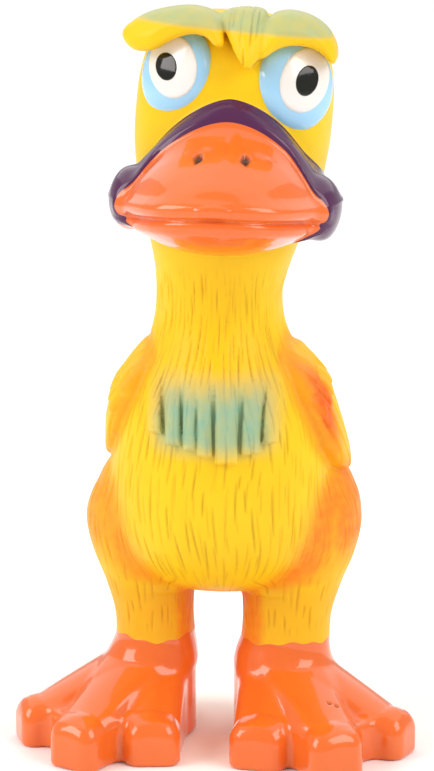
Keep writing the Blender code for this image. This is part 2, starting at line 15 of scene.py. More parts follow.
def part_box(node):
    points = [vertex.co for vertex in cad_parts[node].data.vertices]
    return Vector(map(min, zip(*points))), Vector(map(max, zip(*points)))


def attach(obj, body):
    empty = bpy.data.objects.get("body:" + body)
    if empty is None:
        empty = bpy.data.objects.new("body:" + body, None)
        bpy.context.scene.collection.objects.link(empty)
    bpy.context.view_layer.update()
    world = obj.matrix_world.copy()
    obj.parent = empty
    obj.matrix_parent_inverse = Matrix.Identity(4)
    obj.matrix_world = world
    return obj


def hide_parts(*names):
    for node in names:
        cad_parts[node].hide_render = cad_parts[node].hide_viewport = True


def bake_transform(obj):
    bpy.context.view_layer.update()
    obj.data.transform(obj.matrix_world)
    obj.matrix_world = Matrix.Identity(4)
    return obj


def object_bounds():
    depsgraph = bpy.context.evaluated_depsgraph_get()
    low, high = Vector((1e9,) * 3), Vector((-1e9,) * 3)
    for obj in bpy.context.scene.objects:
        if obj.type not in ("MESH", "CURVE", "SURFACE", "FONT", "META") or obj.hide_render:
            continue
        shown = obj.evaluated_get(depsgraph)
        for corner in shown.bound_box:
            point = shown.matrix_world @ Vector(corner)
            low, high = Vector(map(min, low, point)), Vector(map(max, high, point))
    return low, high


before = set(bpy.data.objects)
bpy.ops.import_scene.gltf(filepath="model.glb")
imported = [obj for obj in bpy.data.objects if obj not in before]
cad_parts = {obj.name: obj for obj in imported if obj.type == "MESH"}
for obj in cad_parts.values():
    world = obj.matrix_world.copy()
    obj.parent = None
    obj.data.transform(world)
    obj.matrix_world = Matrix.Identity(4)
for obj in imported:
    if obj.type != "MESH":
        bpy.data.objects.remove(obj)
cad_low, cad_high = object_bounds()
MM = 0.001
VOXEL = 0.6  # edge of the meshing grid


def box_mm(node):
    """A CAD node's lowest and highest corner."""
    low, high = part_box(node)
    return np.array(low) / MM, np.array(high) / MM


TORSO_TOP = box_mm("torso_skin")[1][2] + 0.15
COLLAR_LOW, COLLAR_HIGH = (corner[2] for corner in box_mm("neck_collar"))
NECK_MIDDLE = (COLLAR_LOW + COLLAR_HIGH) / 2
HEAD_BOTTOM = 120.0
HEAD_TOP = 176.4
TRUNK_BOTTOM = 37.2
LEG_TOP = 37.0
FOOT_TOP = box_mm("left_foot")[1][2]
VENT = (box_mm("squeaker_cap")[0] + box_mm("squeaker_cap")[1]) / 2
BACK = 3.0  # the leg line's Y
LEAN = math.radians(5.0)
LEAN_PIVOT = 112.0

# ---------------------------------------------------------------- shaping tools


def smooth_min(a, b, k):
    """The smaller of two distances, blended where they differ by less than k."""
    h = np.maximum(k - np.abs(a - b), 0) / k
    return np.minimum(a, b) - h * h * k * 0.25


def smooth_max(a, b, k):
    """The larger of two distances, blended where they differ by less than k."""
    return -smooth_min(-a, -b, k)


def ramp(low, high, t):
    """A soft step from 0 at low to 1 at high, which may also be the lower of the two."""
    s = np.clip((t - low) / (high - low), 0, 1)
    return s * s * (3 - 2 * s)


def curve(knots, samples=300):
    """A smooth curve through the knots: a function of their first value that gives arrays of the others."""
    k = np.array(knots, float)
    slopes = np.gradient(k[:, 1:], k[:, 0], axis=0)
    t = np.linspace(k[0, 0], k[-1, 0], samples)
    i = np.clip(np.searchsorted(k[:, 0], t, side="right") - 1, 0, len(k) - 2)
    span = (k[i + 1, 0] - k[i, 0])[:, None]
    s = ((t - k[i, 0])[:, None]) / span
    rows = (
        k[i, 1:] * (2 * s**3 - 3 * s**2 + 1)
        + slopes[i] * span * (s**3 - 2 * s**2 + s)
        + k[i + 1, 1:] * (3 * s**2 - 2 * s**3)
        + slopes[i + 1] * span * (s**3 - s**2)
    )
    return lambda at: [np.interp(at, t, column) for column in rows.T]


def ellipsoid(p, centre, radii):
    """About the distance to an ellipsoid."""
    q = (p - np.array(centre)) / np.array(radii)
    k0 = np.sqrt((q**2).sum(1))
    k1 = np.sqrt(((q / np.array(radii)) ** 2).sum(1))
    return k0 * (k0 - 1) / np.maximum(k1, 1e-6)


def bar(p, a, b, radius_a, radius_b):
    """A round bar from a to b, whose radius changes evenly."""
    a, b = np.array(a, float), np.array(b, float)
    along = b - a
    t = np.clip(((p - a) @ along) / (along @ along), 0, 1)
    return np.sqrt(((p - a - t[:, None] * along) ** 2).sum(1)) - (radius_a + (radius_b - radius_a) * t)


def bars(p, stations, k=1.5):
    """A tapering bar through stations of (x, y, z, radius)."""
    found = None
    for a, b in zip(stations, stations[1:]):
        d = bar(p, a[:3], b[:3], a[3], b[3])
        found = d if found is None else smooth_min(found, d, k)
    return found


def polygon(u, v, corners):
    """Signed distance in a plane to a closed outline."""
    c = np.array(corners, float)
    best = np.full(u.shape, 1e9)
    inside = np.zeros(u.shape, bool)
    for (ax, ay), (bx, by) in zip(c, np.roll(c, -1, 0)):
        ex, ey = bx - ax, by - ay
        t = np.clip(((u - ax) * ex + (v - ay) * ey) / (ex * ex + ey * ey), 0, 1)
        best = np.minimum(best, (u - ax - t * ex) ** 2 + (v - ay - t * ey) ** 2)
        crosses = ((ay > v) != (by > v)) & (u < ex * (v - ay) / (ey if ey else 1e-9) + ax)
        inside ^= crosses
    return np.where(inside, -1, 1) * np.sqrt(best)


def oval(x, y, half_width, depth, power=2.0):
    """Distance in a horizontal plane to a rounded oval."""
    u, v = np.abs(x) / half_width, np.abs(y) / depth
    g = u**power + v**power
    k0 = g ** (1 / power)
    slope = np.sqrt((u ** (power - 1) / half_width) ** 2 + (v ** (power - 1) / depth) ** 2)
    return (k0 - 1) / np.maximum(slope / np.maximum(g, 1e-6) ** ((power - 1) / power), 1e-6)


def unlean(p):
    """Where a point would be if the head stood straight."""
    c, s = math.cos(LEAN), math.sin(LEAN)
    x, z = p[:, 0], p[:, 2] - LEAN_PIVOT
    return np.stack([c * x - s * z, p[:, 1], s * x + c * z + LEAN_PIVOT], 1)


def lean(p):
    """Where a point of the straight head is once the head leans."""
    c, s = math.cos(LEAN), math.sin(LEAN)
    x, z = p[:, 0], p[:, 2] - LEAN_PIVOT
    return np.stack([c * x + s * z, p[:, 1], -s * x + c * z + LEAN_PIVOT], 1)


# ---------------------------------------------------------------- the bird's shapes

# height, half width, reach forward, reach back
TRUNK = curve((
    (TRUNK_BOTTOM, 5, 4, 6), (38.2, 12, 9, 12), (41, 18, 16, 17.5), (45, 22.3, 21.5, 21.5),
    (52, 26, 27, 25), (62, 27.2, 29.5, 27), (74, 26.3, 29, 26.5), (84, 24, 27, 24), (92, 20.6, 24, 20),
    (98, 17.5, 20.5, 16),
    (104, 15.6, 18, 13.5), (112, 15.0, 17.3, 12.5), (121, 15.7, 17.5, 13.2), (130, 17.5, 17.5, 15),
))
HEAD = curve((
    (114, 13, 12, 11), (121, 15.9, 17, 13.5), (128, 18.2, 18.3, 16), (136, 21.2, 19.5, 18.5),
    (144, 22.6, 20.5, 20), (154, 23.0, 20.8, 20.5), (162, 22.5, 20, 19.5), (168, 20.9, 18, 17.5),
    (173, 17, 14.5, 14), (176.6, 10, 9, 9),
))
# height, centre to the side, centre back, half width, half depth
LEG = curve((
    (16, 16.3, 0, 11, 10.6), (24, 16.3, 0, 10.5, 10), (30, 16.6, 0, 10.4, 10.2), (38, 17.6, 0.5, 11.6, 12),
    (46, 19.3, 1.5, 13.0, 15), (54, 20.3, 2.5, 13.3, 17), (62, 20.2, 3, 12, 16), (68, 19.6, 3, 9, 12.5),
    (72, 19, 3, 4, 6),
))
# reach forward, half width, top, widest height, bottom
SNOUT = curve((
    (-4, 19, 156.0, 136, 129), (0, 22.2, 157.6, 136, 127), (4, 23.8, 158.8, 136, 125.6),
    (8, 24.6, 159.4, 136, 124.8), (14, 24.9, 159.4, 136, 124.2), (19, 24.5, 158.6, 136, 124),
    (22, 23.8, 156.6, 136, 124), (25, 22.7, 152.8, 136, 124), (28, 21.4, 150.4, 136, 124.2),
    (32, 19.4, 148.2, 136.1, 124.8), (36, 17.0, 146.0, 136.1, 126), (39, 14.8, 144.2, 136.1, 127.2),
    (43, 10.2, 141.4, 136.2, 130), (45.5, 4.5, 138.6, 136.2, 133.4),
))
LOBE = (22.4, -15.5, 135.2)  # middle of the rim's round end at the side
SNOUT_ROLL = math.radians(4.0)  # the bill leans less than the head
SNOUT_PIVOT = 140.0
SNOUT_FRONT, SNOUT_BACK = 45.3, -3.0  # reach forward of the leg line
RIM_FRONT = 24.2  # reach of the purple rim's front edge at the middle
RIM_FOOT = 128.2  # height where the rim's lobes end
MOUTH_HEIGHT = 134.9
NOSTRIL_SIDE, NOSTRIL_HEIGHT = 5.4, 147.0


def trunk_distance(p):
    """The belly, the chest and the neck in one."""
    half_width, forward, back = TRUNK(p[:, 2])
    y = p[:, 1] - BACK
    shift = -0.8 * ramp(92, 104, p[:, 2])
    side = oval(p[:, 0] - shift, y, half_width, np.where(y < 0, forward, back), 2.0)
    lean_in = np.sqrt(1 + ((TRUNK(p[:, 2] + 0.5)[0] - TRUNK(p[:, 2] - 0.5)[0]) * 0.8) ** 2)
    return smooth_max(smooth_max(side / lean_in, TRUNK_BOTTOM - p[:, 2], 2.0), p[:, 2] - 128, 2.0)


def head_distance(q):
    """The head without its bill, its eyes and its crest."""
    half_width, forward, back = HEAD(q[:, 2])
    y = q[:, 1] - BACK
    shift = -0.9 * ramp(122, 145, q[:, 2])
    side = oval(q[:, 0] - shift, y, half_width, np.where(y < 0, forward, back), 2.35)
    return smooth_max(smooth_max(side, 115 - q[:, 2], 2.0), q[:, 2] - HEAD_TOP, 3.0)


def in_snout(q):
    """Points of the head's frame in the bill's frame."""
    c, s = math.cos(SNOUT_ROLL), math.sin(SNOUT_ROLL)
    x, z = q[:, 0], q[:, 2] - SNOUT_PIVOT
    return np.stack([c * x + s * z, q[:, 1], -s * x + c * z + SNOUT_PIVOT], 1)


# in the next functions p is in the bill's frame, where the bill doesn't lean


def snout_distance(p):
    """The bill with its purple rim: a rounded triangle above its widest height, an oval below."""
    reach = BACK - p[:, 1]
    half_width, top, middle, bottom = SNOUT(reach)
    u = np.abs(p[:, 0] - ramp(138, 158, p[:, 2])) / half_width
    above = p[:, 2] > middle
    rise = np.where(above, top - middle, middle - bottom)
    v = np.abs(p[:, 2] - middle) / rise
    tip = ramp(14, 30, reach)
    across_power = np.where(above, 1.5 + 0.45 * tip, 2.2)
    power = np.where(above, 0.86 + 0.38 * tip, 2.1)
    g = u**across_power + v**power
    slope = np.sqrt(
        (across_power * u ** (across_power - 1) / half_width) ** 2
        + (power * np.maximum(v, 0.02) ** (power - 1) / rise) ** 2
    )
    side = np.minimum((g - 1) / np.maximum(slope, 0.02), 30)
    return smooth_max(smooth_max(side * 0.85, reach - SNOUT_FRONT, 3.0), SNOUT_BACK - reach, 2.0)


def rim_edge(p):
    """Above zero in front of the purple rim's front edge."""
    return (BACK - p[:, 1]) - (RIM_FRONT + 2.6 * ramp(14, 22, np.abs(p[:, 0])))


def rim_bottom(p):
    """Above zero over the ends of the purple rim's lobes."""
    return p[:, 2] - RIM_FOOT + 0.07 * p[:, 0]


def mouth_level(p):
    """Height above the mouth line."""
    reach = BACK - p[:, 1]
    return p[:, 2] - (MOUTH_HEIGHT - 0.08 * (44 - reach) - 0.003 * p[:, 0] ** 2)


def bill_distance(p):
    """The snout with its raised rim, its lips and its mouth line."""
    reach = BACK - p[:, 1]
    rim = ramp(0.5, -0.7, rim_edge(p)) * ramp(-0.8, 1.5, rim_bottom(p))
    drop = np.where(p[:, 0] > 0, 1.2, 0)
    lobe = ellipsoid(np.column_stack([np.abs(p[:, 0]), p[:, 1], p[:, 2] + drop]), LOBE, (4.0, 8.5, 7.0))
    level = mouth_level(p)
    front = ramp(24, 31, reach)
    lips = 1.1 * np.exp(-(((level - 2.6) / 1.9) ** 2)) + 0.9 * np.exp(-(((level + 2.6) / 1.6) ** 2))
    crease = 1.2 * np.exp(-((level / 0.6) ** 2))
    cheek = 0.7 * np.exp(-(((level - 9) / 5) ** 2) - ((np.abs(p[:, 0]) - 12) / 5) ** 2)
    return smooth_min(snout_distance(p) - 0.9 * rim, lobe, 3.0) - front * (lips + cheek - crease)


def nostrils(p):
    """The two slanting slots over the bill, from 0 to 1 deep."""
    depth = np.zeros(len(p))
    for side in (1, -1):
        x, z = p[:, 0] - 0.5 - side * NOSTRIL_SIDE, p[:, 2] - NOSTRIL_HEIGHT
        along, across = 0.5 * side * x + 0.86 * z, 0.86 * x - 0.5 * side * z
        depth += np.exp(-((np.abs(across) / 0.95) ** 4) - (np.abs(along) / 0.7) ** 4)
    return depth * (BACK - p[:, 1] > 26)


CREST_FOOT = 160  # nothing of the crest hangs below this height
CREST = {  # outline across and up, seen from in front
    "right_brow": (
        (-28.2, 170.8), (-23.6, 175.0), (-17.0, 177.6), (-10.4, 178.8), (-4.6, 177.4), (-3.2, 174.0),
        (-2.4, 170.6), (-4.8, 170.4), (-6.8, 172.4), (-10.5, 172.8), (-15.0, 170.8), (-19.0, 167.6),
        (-24.5, 167.0),
    ),
    "left_brow": (
        (5.8, 178.0), (9.5, 179.6), (13.5, 179.4), (17.4, 178.0), (20.4, 175.6), (22.4, 172.2),
        (22.8, 168.8), (21.2, 168.6), (18.6, 171.4), (14.2, 172.4), (9.7, 171.6), (6.2, 168.4),
        (4.8, 169.4),
    ),
    "forehead_tuft": (
        (-5.2, 177.2), (-2.8, 179.0), (3.7, 179.8), (6.4, 178.4), (6.0, 173.4), (5.8, 169.4),
        (3.6, 165.8), (0.8, 168.2), (-3.2, 174.5),
    ),
}


def softened(corners):
    """The outline with its corners cut twice over, which leaves a soft curve."""
    outline = np.array(corners, float)
    for _ in range(2):
        after = np.roll(outline, -1, 0)
        outline = np.stack([0.75 * outline + 0.25 * after, 0.25 * outline + 0.75 * after], 1).reshape(-1, 2)
    return outline


def crest_distances(q):
    """The distance to each of three flat tufts of feathers that lie folded over the forehead."""
    high = q[:, 2] > CREST_FOOT
    x, y, z = q[high].T
    made = {}
    for name, corners in CREST.items():
        outline = polygon(x, z, softened(corners))
        if name == "forehead_tuft":
            face, depth = -16.5 - 0.62 * (178 - z), 9.0
        else:
            face, depth = -20.6 + 0.0125 * x**2 + 0.35 * (z - 171), 11.0
        pillow = 0.4 * np.clip(-outline, 0, 3.5)
        slab = np.abs(y - face - depth / 2) - depth / 2 - pillow
        made[name] = np.full(len(q), 10.0)
        made[name][high] = smooth_max(outline + 0.1, slab, 2.2)
    return made


FEATHER_PROUD = 2.5  # how far a chest feather stands off the chest
CHEST_FEATHERS = (  # middle, half width, height of the tip, lean
    (-13.4, 1.9, 81.0, -0.10), (-8.7, 2.0, 78.9, -0.08), (-4.8, 1.7, 78.1, -0.03), (-1.2, 1.9, 76.8, -0.06),
    (3.9, 2.8, 75.1, -0.03), (9.2, 2.2, 77.2, 0.02), (13.5, 1.9, 79.3, 0.05),
)


def chest_height(p):
    """How far the hanging chest feathers stand off the chest."""
    x, z = p[:, 0], p[:, 2]
    height = np.zeros(len(p))
    for middle, half_width, tip, slant in CHEST_FEATHERS:
        u = (x - middle - slant * (z - tip)) / half_width
        round_tip = np.sqrt(np.clip(1 - (np.minimum(z - tip - 2.2, 0) / 2.2) ** 2, 0, 1))
        across = np.clip(1 - np.abs(u) ** 2.4, 0, 1) ** 0.5
        lobe = FEATHER_PROUD * across * round_tip * ramp(95, 83, z) * (z > tip)
        height = np.maximum(height, lobe)
    return height * (p[:, 1] < 0)


WING = (  # back, up
    (-9, 95), (-3, 99), (4, 99.5), (11, 97), (17, 90), (21, 81), (22.5, 73.0), (18, 71.5),
    (12, 71.5), (7, 69.8), (1, 70.0), (-4, 72.5), (-8.5, 78), (-11, 87),
)


def wing_outline(p):
    """Below zero over a wing. The left wing hangs a little lower."""
    drop = np.where(p[:, 0] > 0, 2.5, 0.0) * ramp(92, 76, p[:, 2])
    return polygon(p[:, 1], p[:, 2] + drop, WING)


def wing_distance(p, trunk):
    """A pad that lies on the trunk, whose own distance is given."""
    outline = wing_outline(p)
    tuck = np.where(p[:, 0] > 0, 0.35, -0.55) * ramp(84, 70, p[:, 2])
    pad = 2.7 * ramp(101, 88, p[:, 2]) * (1 + tuck) + 0.5
    return smooth_max(trunk - pad, outline, 2.2)


def leg_distance(p):
    """Both legs with their thighs. They differ a little, as the moulding's do."""
    across, back, half_width, half_depth = LEG(p[:, 2])
    left = p[:, 0] > 0
    low = ramp(56, 42, p[:, 2])
    across = across + low * np.where(left, -0.85, 0.2)
    half_width = half_width + low * np.where(left, 0.35, -0.8)
    half_width = half_width - np.where(left, 0, 1.2) * ramp(54, 64, p[:, 2])
    side = oval(np.abs(p[:, 0]) - across, p[:, 1] - BACK - back, half_width, half_depth)
    return smooth_max(smooth_max(side, 18 - p[:, 2], 2.0), p[:, 2] - 71, 3.0)


# to the side, forward, half width, height of the tip
TOES = ((13.6, 22.0, 6.9, 11.8), (30.2, 26.5, 6.9, 12.4), (43.2, 12.0, 6.1, 11.2))
HEEL = (15.0, -8.5, 6.4, 13.5)
ANKLE = (16.3, 0.0, 9.8, 24.0)
TOE_CORNER = 3.6  # radius of a toe's corners, seen from above


def toe_distance(x, y, z, toe):
    """A toe: an upright wall with a square tip, under a rounded ridge that falls from the ankle."""
    ax, ay = ANKLE[0], BACK - ANKLE[1]
    ex, ey = toe[0] - ax, BACK - toe[1] - ay
    length = math.hypot(ex, ey)
    along = ((x - ax) * ex + (y - ay) * ey) / length
    across = np.abs((x - ax) * ey - (y - ay) * ex) / length
    t = np.clip(along / length, 0, 1)
    half = ANKLE[2] + (toe[2] - ANKLE[2]) * t**0.8
    crown = ANKLE[3] + (toe[3] - ANKLE[3]) * t**1.1
    end = length + toe[2]
    u, v = across - (half - TOE_CORNER), along - (end - TOE_CORNER)
    square = np.sqrt(np.maximum(u, 0) ** 2 + np.maximum(v, 0) ** 2)
    square = square + np.minimum(np.maximum(u, v), 0) - TOE_CORNER
    wall = np.where(along < 0, np.sqrt(along**2 + across**2) - half, square)
    corner = 2.6
    sag = 1.7 * (across / half) ** 2 + 1.5 * np.clip((along - length) / toe[2], 0, 1) ** 2
    roof = (z - crown) * 0.85 + sag
    outer = np.sqrt(np.maximum(wall + corner, 0) ** 2 + np.maximum(roof + corner, 0) ** 2)
    return np.minimum(np.maximum(wall + corner, roof + corner), 0) + outer - corner


def foot_distance(p):
    """Both feet: three toes and a heel round an ankle, with webs between the toes."""
    x, y, z = p.T
    x = np.where(x > 0, x + 2.2, 4.1 + (-x - 5.5) * 1.038)  # the moulding's two feet differ a little
    found = toe_distance(x, y, z, TOES[0])
    for toe in TOES[1:]:
        found = smooth_min(found, toe_distance(x, y, z, toe), 2.4)
    found = smooth_min(found, toe_distance(x, y, z, HEEL), 4.0)
    for a, b in zip(TOES, TOES[1:]):
        corners = [(ANKLE[0], BACK)] + [
            (ANKLE[0] + 1.07 * (t[0] - ANKLE[0]), BACK - 1.07 * t[1]) for t in (a, b)
        ]
        plan = polygon(x, y, corners)
        far = np.sqrt((x - ANKLE[0]) ** 2 + (y - BACK) ** 2)
        roof = z - (21.5 - 11.6 * ramp(2, 27, far) ** 0.8)
        found = smooth_min(found, smooth_max(plan, roof * 0.8, 1.8), 3.0)
    return smooth_max(found, -z, 1.2)


# stations: side, back, height, radius
TAIL = ((0, 24, 73, 7.5), (0, 32, 76, 6.6), (0, 37.5, 79, 4.8), (0, 41, 83.5, 2.0))


def tail_distance(p):
    """A pointed tuft, wider than it is thick."""
    return bars(p * np.array([0.75, 1, 1]), TAIL, 2.0)


VENT_LIP, VENT_HOLE = 11.0, 6.95  # radii of the thick rim round the squeaker and of its hole


def vent_boss(p):
    """The thick rim round the squeaker, and the hole in it."""
    away = np.sqrt(p[:, 0] ** 2 + (p[:, 2] - VENT[2]) ** 2)
    ring = smooth_max(away - VENT_LIP, np.abs(p[:, 1] - 26) - 4.5, 2.0)
    pit = np.maximum(away - VENT_HOLE, 22.0 - p[:, 1])
    return ring, pit


def bird(p):
    """Signed distance to the whole skin."""
    q = unlean(p)
    trunk = trunk_distance(p)
    body = trunk - chest_height(p)
    body = smooth_min(body, leg_distance(p), 3.0)
    body = smooth_min(body, wing_distance(p, trunk), 0.8)
    body = smooth_min(body, tail_distance(p), 2.5)
    ring, pit = vent_boss(p)
    body = smooth_max(smooth_min(body, ring, 2.5), -pit, 0.6)
    body = smooth_min(body, foot_distance(p), 2.5)
    head = head_distance(q)
    for d in crest_distances(q).values():
        head = smooth_min(head, d, 1.0)
    head = smooth_min(head, bill_distance(in_snout(q)), 0.9)
    return smooth_min(body, head, 4.0)


# ---------------------------------------------------------------- meshing


def field_on_grid(low, high):
    """The distance field on a grid, worked out only near the surface."""
    shape = np.ceil((high - low) / VOXEL).astype(int) + 1
    step = 4
    axes = [low[k] + VOXEL * np.arange(shape[k]) for k in range(3)]
    coarse = [a[::step] for a in axes]
    grid = np.stack(np.meshgrid(*coarse, indexing="ij"), -1).reshape(-1, 3)
    value = bird(grid).reshape([len(a) for a in coarse])
    index = [np.minimum((np.arange(n) + step // 2) // step, len(c) - 1) for n, c in zip(shape, coarse)]
    full = value[np.ix_(*index)].astype(np.float32)
    near = np.argwhere(np.abs(full) < VOXEL * step * 1.5)
    points = low + VOXEL * near
    full[tuple(near.T)] = np.concatenate([bird(chunk) for chunk in np.array_split(points, 8)])
    return full


def surface_nets(full, low):
    """Vertices and quads of the field's zero surface."""
    inside = full < 0
    size = np.array(full.shape) - 1
    steps = [(a, b, c) for a in (0, 1) for b in (0, 1) for c in (0, 1)]
    count = sum(
        inside[a : a + size[0], b : b + size[1], c : c + size[2]].astype(np.int8) for a, b, c in steps
    )
    cells = np.argwhere((count > 0) & (count < 8))
    corners = {(a, b, c): full[cells[:, 0] + a, cells[:, 1] + b, cells[:, 2] + c] for a, b, c in steps}
    total, hits = np.zeros((len(cells), 3)), np.zeros(len(cells))
    for axis in range(3):
        others = [k for k in range(3) if k != axis]
        for u in (0, 1):
            for v in (0, 1):
                start = [0, 0, 0]
                start[others[0]], start[others[1]] = u, v
                end = list(start)
                end[axis] = 1
                f0, f1 = corners[tuple(start)], corners[tuple(end)]
                cut = (f0 < 0) != (f1 < 0)
                t = np.where(cut, f0 / np.where(cut, f0 - f1, 1), 0)
                at = np.tile(np.array(start, float), (len(cells), 1))
                at[:, axis] = t
                total[cut] += at[cut]
                hits[cut] += 1
    vertices = low + VOXEL * (cells + total / hits[:, None])
    number = np.full(size, -1, np.int32)
    number[tuple(cells.T)] = np.arange(len(cells))
    quads = []
    for axis in range(3):
        u, v = [k for k in range(3) if k != axis]
        here = [slice(None)] * 3
        there = [slice(None)] * 3
        here[axis], there[axis] = slice(0, -1), slice(1, None)
        flips = np.argwhere(inside[tuple(here)] != inside[tuple(there)])
        flips = flips[(flips[:, u] > 0) & (flips[:, v] > 0)]
        ring = []
        for du, dv in ((-1, -1), (0, -1), (0, 0), (-1, 0)):
            cell = flips.copy()
            cell[:, u] += du
            cell[:, v] += dv
            ring.append(number[tuple(cell.T)])
        quad = np.stack(ring, 1)
        outward = inside[tuple(flips.T)]
        if axis == 1:
            outward = ~outward
        quad[~outward] = quad[~outward][:, ::-1]
        quads.append(quad)
    return vertices, np.concatenate(quads)


def gradient(p, step=0.15):
    """Which way the distance grows, and how fast."""
    parts = []
    for axis in range(3):
        shift = np.zeros(3)
        shift[axis] = step
        parts.append(bird(p + shift) - bird(p - shift))
    return np.stack(parts, 1) / (2 * step)


def settle(p, rounds=2):
    """Moves points onto the surface."""
    for _ in range(rounds):
        g = gradient(p)
        move = -bird(p)[:, None] * g / np.maximum((g**2).sum(1), 0.2)[:, None]
        length = np.sqrt((move**2).sum(1))[:, None]
        p = p + move * np.minimum(1, 0.4 / np.maximum(length, 1e-9))
    return p


def split_edges(triangles):
    """The unique edges, and each triangle's three edge numbers."""
    edges = np.concatenate([triangles[:, [0, 1]], triangles[:, [1, 2]], triangles[:, [2, 0]]])
    unique, number = np.unique(np.sort(edges, 1), axis=0, return_inverse=True)
    return unique, number.reshape(3, -1).T


def subdivide(vertices, triangles):
    """Splits each triangle in four and moves the new vertices onto the surface."""
    edges, number = split_edges(triangles)
    middles = settle((vertices[edges[:, 0]] + vertices[edges[:, 1]]) / 2, 1)
    number = number + len(vertices)
    a, b, c = triangles.T
    ab, bc, ca = number.T
    made = [np.stack(t, 1) for t in ((a, ab, ca), (ab, b, bc), (ca, bc, c), (ab, bc, ca))]
    return np.concatenate([vertices, middles]), np.concatenate(made)


def vertex_normals(vertices, triangles):
    """Each vertex's outward direction, from the triangles round it."""
    a, b, c = (vertices[triangles[:, k]] for k in range(3))
    face = np.cross(b - a, c - a)
    out = np.zeros_like(vertices)
    for k in range(3):
        np.add.at(out, triangles[:, k], face)
    return out / np.maximum(np.sqrt((out**2).sum(1)), 1e-12)[:, None]


def cut_along(vertices, columns, triangles, value):
    """Splits the triangles that cross value's zero line. columns hold what each vertex carries along."""
    sign = value > 0
    mixed = sign[triangles].sum(1) % 3 != 0
    kept, crossing = triangles[~mixed], triangles[mixed]
    lone = np.array([0, 1, 2])
    s = sign[crossing]
    odd = np.where(s.sum(1)[:, None] == 1, s, ~s)
    first = (odd * lone).sum(1)
    rows = np.arange(len(crossing))
    a, b, c = (crossing[rows, (first + k) % 3] for k in range(3))
    pairs = np.concatenate([np.stack([a, b], 1), np.stack([a, c], 1)])
    unique, number = np.unique(np.sort(pairs, 1), axis=0, return_inverse=True)
    number = number.reshape(2, -1) + len(vertices)
    v0, v1 = value[unique[:, 0]], value[unique[:, 1]]
    t = np.clip(v0 / (v0 - v1), 0.02, 0.98)[:, None]

    def between(array):
        return array[unique[:, 0]] * (1 - t) + array[unique[:, 1]] * t

    p, q = number
    made = [np.stack(x, 1) for x in ((a, p, q), (p, b, q), (q, b, c))]
    new_value = np.concatenate([value, np.zeros(len(unique))])
    return (
        np.concatenate([vertices, between(vertices)]),
        np.concatenate([columns, between(columns)]),
        np.concatenate([kept, *made]),
        new_value,
    )


# ---------------------------------------------------------------- fine relief


def chance(*cell):
    """A repeatable number from 0 to 1 for each cell."""
    weights = (127.1, 311.7, 74.7)
    total = sum(np.asarray(c, float) * w for c, w in zip(cell, weights))
    return np.mod(np.sin(total) * 43758.5453, 1.0)


def strokes(u, v, pitch, length, width, seed):
    """Short scratched grooves along v, one in each cell of pitch by length, from 0 to 1 deep."""
    depth = np.zeros(len(u))
    column = np.floor(u / pitch)
    for next_column in (-1, 0, 1):
        c = column + next_column
        row = np.floor(v / length + chance(c, seed, 1))
        middle_v = (row + 0.5 - chance(c, seed, 1)) * length
        half = length * (0.18 + 0.3 * chance(c, row, seed + 2))
        middle_u = (c + 0.5 + 0.55 * (chance(c, row, seed + 3) - 0.5)) * pitch
        tilt = 0.16 * (chance(c, row, seed + 4) - 0.5)
        across = u - middle_u - tilt * (v - middle_v)
        along = np.clip(1 - ((v - middle_v) / half) ** 2, 0, 1)
        strength = 0.35 + 0.65 * chance(c, row, seed + 5)
        depth = np.maximum(depth, np.exp(-((across / width) ** 2)) * along**0.5 * strength)
    return depth


def around(x, y, radius):
    """Distance round an upright body of this radius, from its front."""
    return np.arctan2(x, BACK - y) * radius


def grooves(p):
    """Depth of the scratched feather grooves in the yellow skin and of the gaps between the chest feathers,
    from 0 to 1, which darkens the latex paint there as painted shade.
    """
    x, y, z = p.T
    q = unlean(p)
    turn = around(x, y, 24.0) + 0.35 * np.sin(z * 0.22)
    trunk = strokes(turn, z, 1.9, 15.0, 0.2, 1)
    trunk = np.maximum(trunk, 0.8 * strokes(turn + 1.1, z, 2.5, 10.0, 0.18, 7))
    leg = strokes(around(np.abs(x) - 16.5, y, 12.0), z, 2.0, 10.0, 0.2, 3)
    # the gaps between the hanging chest feathers, pressed in a little and, through the groove mask, darkened
    # as painted shade
    tips = 80.5 - 2.5 * ramp(12, 3, np.abs(x - 2))
    between = ramp(0.7, 0.1, chest_height(p)) * ramp(15.5, 14, np.abs(x)) * ramp(-0.5, 1.5, z - tips)
    between *= ramp(91, 86, z)
    between *= y < -8
    tuft = strokes(q[:, 0], q[:, 1] * 0.8 - q[:, 2], 1.3, 9.0, 0.2, 5)
    low = ramp(47, 40, z) * (np.abs(x) > 6)
    depth = trunk * (1 - low) + leg * low
    depth *= ramp(121, 113, z) * ramp(26, 31, z) * ramp(32, 27, y)
    on_wing = ramp(1.5, 0, wing_outline(p)) * (np.abs(x) > 12) * (y > -14)
    depth *= 1 - on_wing
    return np.maximum(depth * (1 - between), 0.5 * between), tuft


def wing_relief(p):
    """Long flight feathers under two rows of scallops, as a height."""
    y, z = p[:, 1], p[:, 2]
    on_wing = ramp(0.5, -1.5, wing_outline(p)) * (np.abs(p[:, 0]) > 12)
    along = 0.93 * z - 0.37 * (y - 5)
    across = 0.93 * (y - 5) + 0.37 * z
    flight = np.abs(np.mod(across / 4.3, 1.0) - 0.5) * 2
    flight = -0.75 * np.exp(-(((1 - flight) / 0.16) ** 2)) * ramp(91, 86, along)
    scallops = np.zeros(len(p))
    for row, foot in enumerate((84.0, 89.5)):
        u = np.mod(across / 5.0 + 0.5 * row, 1.0) - 0.5
        edge = foot - 2.0 * np.sqrt(np.clip(1 - (2 * u) ** 2, 0, 1))
        scallop = 0.7 * ramp(-0.2, 0.4, along - edge) * ramp(edge + 6.5, edge + 1, along)
        scallops = np.maximum(scallops, scallop)
    return on_wing * (flight + scallops)


# ---------------------------------------------------------------- airbrush masks


def spot(p, centre, radii):
    """A soft airbrushed spot, 1 at its centre."""
    r = ((p - np.array(centre)) / np.array(radii)) ** 2
    return np.exp(-r.sum(1))


